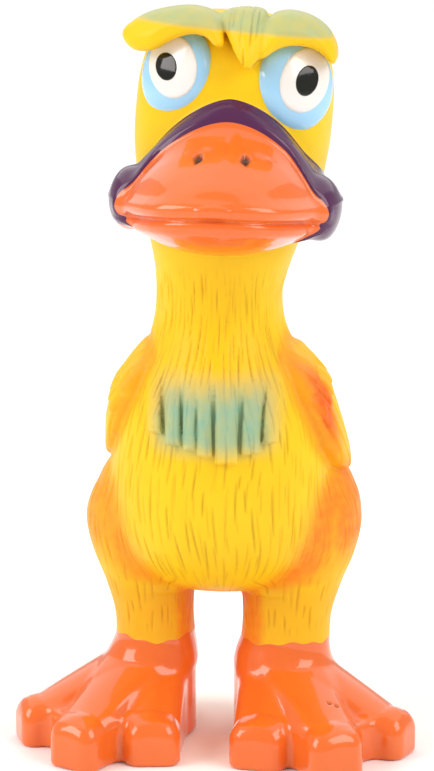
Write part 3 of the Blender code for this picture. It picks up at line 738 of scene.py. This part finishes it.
def airbrush(p):
    """Where the orange, red and teal paint lies over the latex, each from 0 to 1."""
    x, y, z = p.T
    q = unlean(p)
    side = np.abs(x)
    crease = trunk_distance(p) - leg_distance(p)
    thigh = np.exp(-(((crease - 1.0) / 4.2) ** 2)) * ramp(36, 44, z) * ramp(76, 62, z) * ramp(14, 0, y)
    thigh = np.maximum(thigh, ramp(23, 30, side) * ramp(40, 54, z) * ramp(76, 66, z))
    thigh = np.maximum(thigh, np.where(x > 0, 0.25, 0.5) * ramp(46, 36, z))
    inner_leg = ramp(13, 8.5, side) * ramp(44, 36, z)
    edge = ramp(3.4, 0.4, np.abs(wing_outline(p) - 0.4)) * (side > 14) * (y > -14)
    on_wing = ramp(1.0, -1.0, wing_outline(p)) * (side > 14)
    thigh = thigh * np.where(x > 0, 0.95, 0.7)
    orange = np.maximum.reduce([thigh, 0.9 * inner_leg, 0.45 * edge, 0.15 * on_wing])
    red = np.minimum(1.3 * spot(p, (26, -7, 86.5), (10, 4.6, 11.5)), 1) * on_wing
    chest = ramp(97, 87, z) * ramp(74.5, 82, z) * ramp(17.5, 9, np.abs(x - 0.5)) * ramp(-8, -14, y)
    crest = ramp(173.8, 175.2, q[:, 2]) * ramp(4, -2, y)
    return orange, red, np.maximum(0.85 * chest, 0.6 * crest)


# ---------------------------------------------------------------- the skin, cut into its pieces


def region_values(p):
    """For each piece in turn: above zero where the piece is. The first piece that claims a point has it."""
    x, y, z = p.T
    q = unlean(p)
    turn = around(np.abs(x) - 16.5, y, 10.0)
    wave = 0.5 * np.sin(turn * 0.33 + np.sign(x)) + 0.25 * np.sin(turn * 1.1)
    foot_line = FOOT_TOP + 0.4 + wave
    in_head = z - HEAD_BOTTOM
    crest = crest_distances(q)
    head = head_distance(q)
    snout_points = in_snout(q)
    bill = bill_distance(snout_points)
    nearest = np.minimum(head, bill)

    def tuft(name):
        others = [crest[other] for other in crest if other != name]
        return np.minimum(np.minimum.reduce([nearest, *others]) - crest[name], in_head)

    trunk = trunk_distance(p)
    low, high = box_mm("belly_skin")
    belly = -smooth_max(
        np.abs(x - (low[0] + high[0]) / 2) - (high[0] - low[0]) / 2,
        np.abs(z - (low[2] + high[2]) / 2) - (high[2] - low[2]) / 2,
        12.0,
    )
    snout = np.minimum(head - bill, in_head)
    rim = np.minimum.reduce([snout, -rim_edge(snout_points), rim_bottom(snout_points)])
    return {
        "left_foot": np.minimum(foot_line - z, x),
        "right_foot": np.minimum(foot_line - z, -x),
        "left_leg": np.minimum(LEG_TOP - z, x),
        "right_leg": np.minimum(LEG_TOP - z, -x),
        "right_brow": tuft("right_brow"),
        "left_brow": tuft("left_brow"),
        "forehead_tuft": tuft("forehead_tuft"),
        "bill_rim": rim,
        "upper_bill": np.minimum(snout, mouth_level(snout_points)),
        "lower_bill": snout,
        "head_skin": in_head,
        "neck_upper": z - NECK_MIDDLE,
        "neck_lower": z - TORSO_TOP,
        "left_wing": np.minimum.reduce([1.2 - wing_outline(p), x - 14, y + 16]),
        "right_wing": np.minimum.reduce([1.2 - wing_outline(p), -x - 14, y + 16]),
        "chest_tuft": np.minimum(chest_height(p) - 0.12, -8 - y),
        "tail_tuft": np.minimum(trunk - tail_distance(p), y - 18),
        "left_hip": np.minimum(trunk - leg_distance(p), x - 4),
        "right_hip": np.minimum(trunk - leg_distance(p), -x - 4),
        "belly_skin": np.minimum(belly, -y),
        "torso_skin": np.ones(len(p)),
    }


FOOT_PITS = ((27.6, -16.9), (29.4, -16.7), (33.8, -19.1))  # small moulding flaws in the left foot
GROOVE_DEPTH, NOSTRIL_DEPTH = 0.38, 0.9


def carve(vertices, triangles):
    """Presses grooves and wing feathers into the surface. Gives its vertices and their groove and pit depths,
    by which the paints darken them as painted shade.
    """
    normals = vertex_normals(vertices, triangles)
    skin = np.ones(len(vertices))
    value = region_values(vertices)
    for name in ("left_foot", "right_foot", "bill_rim", "upper_bill", "lower_bill", "head_skin"):
        skin[value[name] > -0.3] = 0
    depth, tuft = grooves(vertices)
    depth = depth * skin
    on_tuft = np.clip(value["forehead_tuft"] * 2, 0, 1)
    depth = np.maximum(depth, 0.9 * tuft * on_tuft)
    # the nostril slots and the foot pits, pressed in and also darkened by the orange paint as painted shade
    slots = nostrils(in_snout(unlean(vertices))) * (value["upper_bill"] > 0)
    for pit in FOOT_PITS:
        away = np.hypot(*(vertices[:, :2] - pit).T)
        slots = np.maximum(slots, 0.6 * np.exp(-((away / 0.5) ** 2)) * (vertices[:, 2] < 24))
    height = wing_relief(vertices) - GROOVE_DEPTH * depth - NOSTRIL_DEPTH * slots
    return vertices + normals * height[:, None], np.maximum(depth, slots)


def surface_parts(vertices, columns, triangles):
    """Cuts the surface along each region's border and yields its name, vertices, columns and triangles."""
    rest = triangles
    values = region_values(vertices)
    for name in list(values):
        count = len(vertices)
        vertices, columns, rest, value = cut_along(vertices, columns, rest, values[name])
        added = region_values(vertices[count:])
        values = {other: np.concatenate([values[other], added[other]]) for other in values}
        mine = value[rest].sum(1) > 0
        chosen, rest = rest[mine], rest[~mine]
        used = np.unique(chosen)
        number = np.full(len(vertices), -1)
        number[used] = np.arange(len(used))
        yield name, vertices[used], columns[used], number[chosen]


def mesh_piece(name, vertices, triangles, material, normals=None, masks=None):
    """A smooth-shaded object from vertices in millimetres. masks are stored for its material to read."""
    mesh = bpy.data.meshes.new(name)
    mesh.vertices.add(len(vertices))
    mesh.vertices.foreach_set("co", (vertices * MM).astype(np.float32).ravel())
    mesh.loops.add(triangles.size)
    mesh.loops.foreach_set("vertex_index", triangles.astype(np.int32).ravel())
    mesh.polygons.add(len(triangles))
    mesh.polygons.foreach_set("loop_start", np.arange(0, triangles.size, 3, dtype=np.int32))
    mesh.polygons.foreach_set("loop_total", np.full(len(triangles), 3, np.int32))
    mesh.polygons.foreach_set("use_smooth", np.ones(len(triangles), bool))
    mesh.update()
    for mask, values in (masks or {}).items():
        attribute = mesh.attributes.new(mask, "FLOAT", "POINT")
        attribute.data.foreach_set("value", values.astype(np.float32))
    if normals is not None:
        mesh.normals_split_custom_set_from_vertices(normals.astype(np.float32))
    mesh.materials.append(material)
    made = bpy.data.objects.new(name, mesh)
    bpy.context.scene.collection.objects.link(made)
    return made


# ---------------------------------------------------------------- finishes


def linear(hex_code):
    """An sRGB colour such as "#ffcc00" as Blender's linear one."""
    values = [int(hex_code[n : n + 2], 16) / 255 for n in (1, 3, 5)]
    return [v / 12.92 if v <= 0.04045 else ((v + 0.055) / 1.055) ** 2.4 for v in values] + [1.0]


class Finish:
    """A procedural material, built step by step on one Principled shader."""

    def __init__(self, name, colour, roughness, coat=0.0, subsurface=0.0, metallic=0.0):
        self.material = bpy.data.materials.new(name)
        self.material.use_nodes = True
        self.nodes = self.material.node_tree.nodes
        self.links = self.material.node_tree.links
        self.shader = self.nodes["Principled BSDF"]
        self.shader.inputs["Roughness"].default_value = roughness
        self.shader.inputs["Coat Weight"].default_value = coat
        self.shader.inputs["Coat Roughness"].default_value = 0.05
        self.shader.inputs["Metallic"].default_value = metallic
        self.shader.inputs["Specular IOR Level"].default_value = 0.2
        self.shader.inputs["Subsurface Weight"].default_value = subsurface
        self.shader.inputs["Subsurface Radius"].default_value = (1.0, 0.45, 0.2)
        self.shader.inputs["Subsurface Scale"].default_value = 0.003
        base = self.nodes.new("ShaderNodeRGB")
        base.outputs[0].default_value = linear(colour)
        self.colour = base.outputs[0]
        self.place = self.nodes.new("ShaderNodeTexCoord").outputs["Object"]

    def noise(self, scale, low, high):
        """Soft noise between low and high."""
        noise = self.nodes.new("ShaderNodeTexNoise")
        noise.inputs["Scale"].default_value = scale
        noise.inputs["Detail"].default_value = 3.0
        self.links.new(self.place, noise.inputs["Vector"])
        spread = self.nodes.new("ShaderNodeMapRange")
        spread.inputs["From Min"].default_value = 0.3
        spread.inputs["From Max"].default_value = 0.7
        spread.inputs["To Min"].default_value = low
        spread.inputs["To Max"].default_value = high
        self.links.new(noise.outputs["Fac"], spread.inputs["Value"])
        return spread.outputs["Result"]

    def mask(self, attribute):
        """One of the piece's stored masks."""
        read = self.nodes.new("ShaderNodeAttribute")
        read.attribute_name = attribute
        return read.outputs["Fac"]

    def times(self, a, b):
        """The product of two sockets or numbers."""
        product = self.nodes.new("ShaderNodeMath")
        product.operation = "MULTIPLY"
        product.use_clamp = True
        for socket, value in zip(product.inputs, (a, b)):
            if isinstance(value, (int, float)):
                socket.default_value = value
            else:
                self.links.new(value, socket)
        return product.outputs[0]

    def over(self, colour, amount):
        """Lays another colour on by this amount."""
        mix = self.nodes.new("ShaderNodeMix")
        mix.data_type = "RGBA"
        self.links.new(amount, mix.inputs["Factor"])
        self.links.new(self.colour, mix.inputs["A"])
        mix.inputs["B"].default_value = linear(colour)
        self.colour = mix.outputs["Result"]

    def bump(self, scale, distance):
        """A fine uneven grain in the surface."""
        noise = self.nodes.new("ShaderNodeTexNoise")
        noise.inputs["Scale"].default_value = scale
        noise.inputs["Detail"].default_value = 4.0
        self.links.new(self.place, noise.inputs["Vector"])
        bump = self.nodes.new("ShaderNodeBump")
        bump.inputs["Strength"].default_value = 0.46
        bump.inputs["Distance"].default_value = distance
        self.links.new(noise.outputs["Fac"], bump.inputs["Height"])
        self.links.new(bump.outputs["Normal"], self.shader.inputs["Normal"])

    def done(self):
        """Connects the colour and gives the material."""
        self.links.new(self.colour, self.shader.inputs["Base Color"])
        return self.material


def latex():
    """Satin yellow latex with the airbrushed orange, red and teal."""
    made = Finish("yellow_latex_paint", "#f4cb1a", 0.42, subsurface=0.1)
    made.over("#eeb414", made.noise(60, 0.0, 0.35))
    # painted shade: darker yellow along the feather grooves and in the gaps between the chest feathers
    made.over("#b88410", made.times(made.mask("groove"), 0.6))
    made.over("#f07a22", made.times(made.mask("orange"), made.noise(420, 0.75, 1.0)))
    made.over("#e8601e", made.times(made.mask("red"), made.noise(420, 0.8, 1.0)))
    made.over("#6cb4a6", made.times(made.mask("teal"), made.noise(260, 0.75, 1.0)))
    made.bump(900, 0.00012)
    return made.done()


def glossy(name, colour, patch, roughness=0.3, coat=0.9, pit=None):
    """Shiny paint, with soft patches of a second colour and, if given, a dark colour for deep pits, which is
    painted shade in them.
    """
    made = Finish(name, colour, roughness, coat=coat, subsurface=0.05)
    made.over(patch, made.noise(70, 0.0, 0.35))
    if pit:
        # painted shade: the pit colour grows with the depth of the pits
        made.over(pit, made.mask("groove"))
    made.bump(500, 0.00006)
    return made.done()


def squeaker_plastic():
    """Off-white plastic for the squeaker."""
    made = Finish("squeaker_plastic", "#ece9e0", 0.45)
    made.over("#d9d4c6", made.noise(150, 0.0, 0.4))
    made.bump(1200, 0.00004)
    return made.done()


def brass():
    """Thin brass sheet for the reed."""
    made = Finish("reed_brass_finish", "#d9b25c", 0.3, metallic=1.0)
    made.over("#b98a3e", made.noise(200, 0.0, 0.5))
    made.bump(1500, 0.00002)
    return made.done()


YELLOW = latex()
# its dark brown is painted shade in the nostril slots and the foot pits
ORANGE = glossy("orange_paint", "#ec6f25", "#e3611d", pit="#3a1408")
PURPLE = glossy("purple_paint", "#54244e", "#461e44", 0.25, 0.5)
BLUE = glossy("blue_paint", "#9ed4f4", "#aedcf8", 0.15, 0.8)
WHITE = glossy("white_paint", "#f2efea", "#ebe6de", 0.15, 0.8)
BLACK = glossy("black_paint", "#141510", "#1c1d17", 0.1, 0.6)
FINISHES = {  # by record slot
    "yellow_latex": YELLOW,
    "orange_gloss": ORANGE,
    "purple_gloss": PURPLE,
    "blue_gloss": BLUE,
    "white_gloss": WHITE,
    "black_gloss": BLACK,
}

# ---------------------------------------------------------------- build the skin

low = np.array(cad_low) / MM - 4
high = np.array(cad_high) / MM + 6
skin, quads = surface_nets(field_on_grid(low, high), low)
faces = np.concatenate([quads[:, [0, 1, 2]], quads[:, [0, 2, 3]]])
skin, faces = subdivide(settle(skin), faces)
skin, groove = carve(skin, faces)
normals = vertex_normals(skin, faces)

# between the first body at the first point and the second body at the second one, in metres
BELLY_BLEND = ("torso", "belly", (0, -0.019, 0.07), (0, -0.027, 0.07))
LOOKS = {  # piece: record slot, the nodes it stands for, the body it rides, or None where it rides no body
    "left_foot": ("orange_gloss", ["left_foot"], "left_leg"),
    "right_foot": ("orange_gloss", ["right_foot"], "right_leg"),
    "left_leg": ("yellow_latex", ["left_knee_sleeve", "left_shank"], None),
    "right_leg": ("yellow_latex", ["right_knee_sleeve", "right_shank"], None),
    "right_brow": ("yellow_latex", ["right_brow"], "head"),
    "left_brow": ("yellow_latex", ["left_brow"], "head"),
    "forehead_tuft": ("yellow_latex", ["forehead_tuft"], "head"),
    "bill_rim": ("purple_gloss", ["bill_trim"], "head"),
    "upper_bill": ("orange_gloss", ["upper_bill"], "head"),
    "lower_bill": ("orange_gloss", ["lower_bill"], "head"),
    "head_skin": ("yellow_latex", ["head_skin"], "head"),
    "neck_upper": ("yellow_latex", ["neck_upper_sleeve", "neck_collar"], None),
    "neck_lower": ("yellow_latex", ["neck_lower_sleeve"], None),
}
for side_name in ("left", "right"):
    for part in ("wing", "hip"):
        LOOKS[f"{side_name}_{part}"] = ("yellow_latex", [f"{side_name}_{part}"], None)
for name in ("chest_tuft", "tail_tuft", "belly_skin", "torso_skin"):
    LOOKS[name] = ("yellow_latex", [name], None)
SHANK_TOP = box_mm("left_shank")[1][2]
BLENDS = {
    "left_leg": ("torso", "left_leg", (0, 0, LEG_TOP * MM), (0, 0, SHANK_TOP * MM)),
    "right_leg": ("torso", "right_leg", (0, 0, LEG_TOP * MM), (0, 0, SHANK_TOP * MM)),
    "neck_lower": ("torso", "neck", (0, 0, (TORSO_TOP + 0.2) * MM), (0, 0, (COLLAR_LOW - 0.2) * MM)),
    "neck_upper": ("neck", "head", (0, 0, (COLLAR_HIGH + 0.2) * MM), (0, 0, (HEAD_BOTTOM - 0.2) * MM)),
}

for name, points, carried, triangles in surface_parts(skin, np.column_stack([normals, groove]), faces):
    slot, nodes, body = LOOKS[name]
    orange, red, teal = airbrush(points)
    # groove holds the depth of grooves, gaps and pits; the paints darken by it as painted shade
    masks = {"groove": carried[:, 3], "orange": orange, "red": red, "teal": teal}
    directions = carried[:, :3] / np.linalg.norm(carried[:, :3], axis=1)[:, None]
    piece = mesh_piece(f"{name}_surface", points, triangles, FINISHES[slot], directions, masks)
    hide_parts(*nodes)
    if body:
        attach(piece, body)
    else:
        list(BLENDS.get(name, BELLY_BLEND))
        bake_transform(piece)

# ---------------------------------------------------------------- eyes

CAMERA = np.array([66.1, -639.7, 240.0])
CAMERA_AIM = np.array([-1.0, -1.0, 88.0])
EYE_CENTRE = np.array([13.6, -10.6, 163.0])  # for the bird's left eye, before the head leans
EYE_RADII = np.array([9.6, 10.9, 5.0])  # half width, half height, how far it bulges
EYE_TURN, EYE_UP, EYE_ROLL = 34.0, 10.0, 9.0  # degrees
PATCH_ROLL = 11.0  # degrees
# (to the bird's left, up, half width, half height) of each patch, as seen from in front
PATCHES = {
    "right": {"eye_white": (-1.2, 1.2, 5.7, 7.6), "pupil": (-2.5, 1.0, 2.5, 3.35)},
    "left": {"eye_white": (2.1, 1.0, 5.7, 7.8), "pupil": (2.5, 0.9, 2.6, 3.7)},
}


def eye_axes(side):
    """Columns: across the eye, up it, and out of it. side is 1 for the bird's left."""
    turn = Matrix.Rotation(math.radians(side * EYE_TURN), 3, "Z")
    tip_up = Matrix.Rotation(math.radians(-EYE_UP), 3, "X")
    face = Matrix.Rotation(math.radians(90), 3, "X")
    roll = Matrix.Rotation(math.radians(side * EYE_ROLL), 3, "Z")
    return np.array(turn @ tip_up @ face @ roll)


def disc(rings, around_count):
    """Points of a unit disc, one in the middle, and its triangles."""
    turn = np.linspace(0, 2 * math.pi, around_count, endpoint=False)
    radius = np.linspace(0, 1, rings + 1)[1:]
    points = [(0.0, 0.0)] + [(r * math.cos(t), r * math.sin(t)) for r in radius for t in turn]
    triangles = []
    for n in range(around_count):
        m = (n + 1) % around_count
        triangles.append((0, 1 + n, 1 + m))
        for ring in range(rings - 1):
            a, b = 1 + ring * around_count, 1 + (ring + 1) * around_count
            triangles += [(a + n, b + n, b + m), (a + n, b + m, a + m)]
    return np.array(points), np.array(triangles)


def view_axes(centre):
    """Right, up and out to the camera from an eye, in the frame of a head that stands straight."""
    pivot = np.array([0, 0, LEAN_PIVOT])
    away = unlean((CAMERA - lean(centre[None])[0] + pivot)[None])[0] - pivot
    out = away / np.linalg.norm(away)
    right = np.cross((0, 0, 1), out)
    right /= np.linalg.norm(right)
    return right, np.cross(out, right), out


def paint_patch(name, slot, side, layer, shape, centre, axes):
    """A thin coat of paint on an eyeball, oval as seen from the camera. layer counts the coats under it."""
    across, rise, half_width, half_height = shape
    roll = math.radians(-side * PATCH_ROLL)
    c, s = math.cos(roll), math.sin(roll)
    flat, triangles = disc(24, 96)
    u, v = flat[:, 0] * half_width, flat[:, 1] * half_height
    u, v = across + c * u - s * v, rise + s * u + c * v
    right, up, out = view_axes(centre)
    start = (u[:, None] * right + v[:, None] * up + out * 30) @ axes / EYE_RADII
    step = (-out) @ axes / EYE_RADII
    half_b, a = start @ step, step @ step
    inside = np.maximum(half_b**2 - a * ((start**2).sum(1) - 1), 0)
    hit = start + ((-half_b - np.sqrt(inside)) / a)[:, None] * step
    outward = hit / EYE_RADII
    outward /= np.linalg.norm(outward, axis=1)[:, None]
    edge = ramp(1.0, 0.9, np.linalg.norm(flat, axis=1))
    height = 0.1 + 0.16 * layer + 0.18 * edge - 0.25 * (1 - edge)
    points = centre + (hit * EYE_RADII + outward * height[:, None]) @ axes.T
    piece = mesh_piece(f"{name}_coat", lean(points), triangles, FINISHES[slot])
    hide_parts(name)
    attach(piece, "head")


def make_eye(word, side):
    """A blue eyeball with its white and its pupil painted on."""
    axes = eye_axes(side)
    centre = EYE_CENTRE * (side, 1, 1)
    flat, triangles = disc(40, 128)
    radius = np.linalg.norm(flat, axis=1)[:, None]
    turned_out = flat * np.sin(radius * math.pi / 2) / np.maximum(radius, 1e-9)
    bulge = np.sqrt(np.clip(1 - (turned_out**2).sum(1), 0, 1))
    ball = centre + np.column_stack([turned_out, bulge]) * EYE_RADII @ axes.T
    piece = mesh_piece(f"{word}_eye_ball", lean(ball), triangles, BLUE)
    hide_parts(f"{word}_eye")
    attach(piece, "head")
    for layer, (patch, slot) in enumerate((("eye_white", "white_gloss"), ("pupil", "black_gloss"))):
        paint_patch(f"{word}_{patch}", slot, side, layer, PATCHES[word][patch], centre, axes)


make_eye("left", 1)
make_eye("right", -1)

# ---------------------------------------------------------------- what shows of the frame

for node in ("squeaker_housing", "squeaker_cap", "reed_plate"):
    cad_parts[node].data.materials.clear()
    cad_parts[node].data.materials.append(squeaker_plastic())
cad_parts["reed"].data.materials.clear()
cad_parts["reed"].data.materials.append(brass())

# ---------------------------------------------------------------- studio


def soft_box(name, place, size, power, colour):
    """A soft light that points at the bird's middle. Metres and watts."""
    light = bpy.data.lights.new(name, "AREA")
    light.shape = "RECTANGLE"
    light.size, light.size_y = size
    light.energy = power
    light.color = colour
    made = bpy.data.objects.new(name, light)
    made.location = place
    made.rotation_euler = (Vector((0, 0, 0.09)) - Vector(place)).to_track_quat("-Z", "Y").to_euler()
    bpy.context.scene.collection.objects.link(made)


def studio():
    """A wide white floor, a pale sky and three soft lights."""
    mesh = bpy.data.meshes.new("floor")
    half = 6.0
    corners = [(-half, -half, 0), (half, -half, 0), (half, half, 0), (-half, half, 0)]
    mesh.from_pydata(corners, [], [(0, 1, 2, 3)])
    floor = bpy.data.objects.new("floor", mesh)
    bpy.context.scene.collection.objects.link(floor)
    paper = Finish("paper", "#ffffff", 0.9)
    mesh.materials.append(paper.done())
    world = bpy.data.worlds.new("studio")
    world.use_nodes = True
    world.node_tree.nodes["Background"].inputs["Color"].default_value = (1, 1, 1, 1)
    world.node_tree.nodes["Background"].inputs["Strength"].default_value = 0.46
    bpy.context.scene.world = world
    soft_box("left_box", (-0.95, -0.5, 0.75), (0.7, 0.7), 8.5, (1, 0.95, 0.93))
    soft_box("right_box", (0.85, -0.45, 0.75), (0.7, 0.7), 6.5, (1, 0.95, 0.93))
    soft_box("top_box", (0, 1.0, 1.8), (4.0, 4.0), 42, (1, 1, 1))


studio()
camera = bpy.data.objects.new("camera", bpy.data.cameras.new("camera"))
camera.data.lens = 129
camera.data.sensor_width = 36
camera.data.clip_start = 0.01
camera.location = CAMERA * MM
camera.rotation_euler = Vector(CAMERA_AIM - CAMERA).to_track_quat("-Z", "Y").to_euler()
bpy.context.scene.collection.objects.link(camera)
bpy.context.scene.camera = camera
bpy.context.scene.view_settings.view_transform = "Standard"
